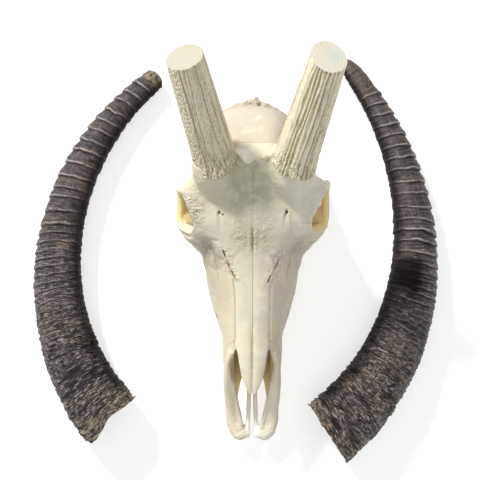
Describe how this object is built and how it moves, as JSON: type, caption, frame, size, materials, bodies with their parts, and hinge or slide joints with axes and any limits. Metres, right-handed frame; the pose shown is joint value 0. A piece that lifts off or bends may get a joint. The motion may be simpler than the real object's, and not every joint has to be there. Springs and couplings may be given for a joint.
{
  "type": "roan antelope skull with loose horn sheaths",
  "caption": "Bleached antelope skull without its lower jaw, its horn cores sawn short, lying between its own loose, curved, ringed horn sheaths.",
  "frame": {"origin": "on the table, under the middle of the box that holds the skull and both sheaths", "axes": "the snout points to -Y, the horn cores rise towards +Y and +Z, and +X is the animal's left"},
  "size_m": [0.4857, 0.4925, 0.2693],
  "materials": {
    "bone": "dry bleached bone, matt",
    "core_bone": "rough grooved bone, matt",
    "horn": "weathered horn, matt to satin"
  },
  "bodies": {
    "root": {"braincase": "bone", "frontal": "bone", "nasal_left": "bone", "nasal_right": "bone", "premaxilla_left": "bone", "premaxilla_right": "bone", "maxilla_left": "bone", "maxilla_right": "bone", "cheek_left": "bone", "cheek_right": "bone", "vomer": "bone", "horn_core_left": "core_bone", "horn_core_right": "core_bone", "horn_sheath_left": "horn", "horn_sheath_right": "horn"}
  },
  "joints": []
}
